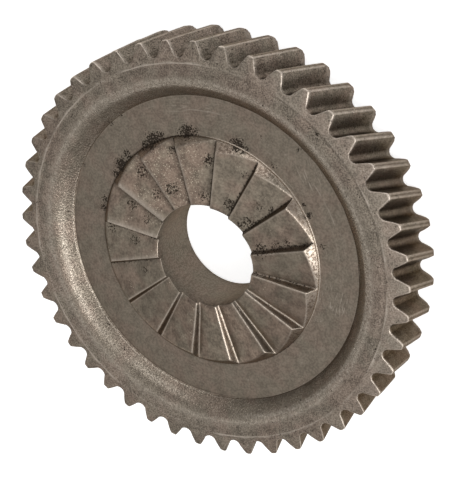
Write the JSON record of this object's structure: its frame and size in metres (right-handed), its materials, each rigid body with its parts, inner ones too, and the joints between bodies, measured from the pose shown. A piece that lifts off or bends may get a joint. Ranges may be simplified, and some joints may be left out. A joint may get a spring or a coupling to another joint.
{
  "type": "helical gear",
  "caption": "Forged steel helical gear with fine right-hand teeth, a dished front face and a ring of saw-tooth face clutch teeth around its bore",
  "frame": {"origin": "centre of the bore in the flat back face", "axes": "+Z along the bore axis, out of the clutch face; +X through the middle of a tooth at the front plane"},
  "size_m": [0.0732, 0.0732, 0.0118],
  "materials": {
    "gear_steel": "worn warm grey steel, rough forged rim and tooth end faces, turned recess floor, burnished tooth edges"
  },
  "bodies": {
    "root": {"helical_gear": "gear_steel"}
  },
  "joints": []
}
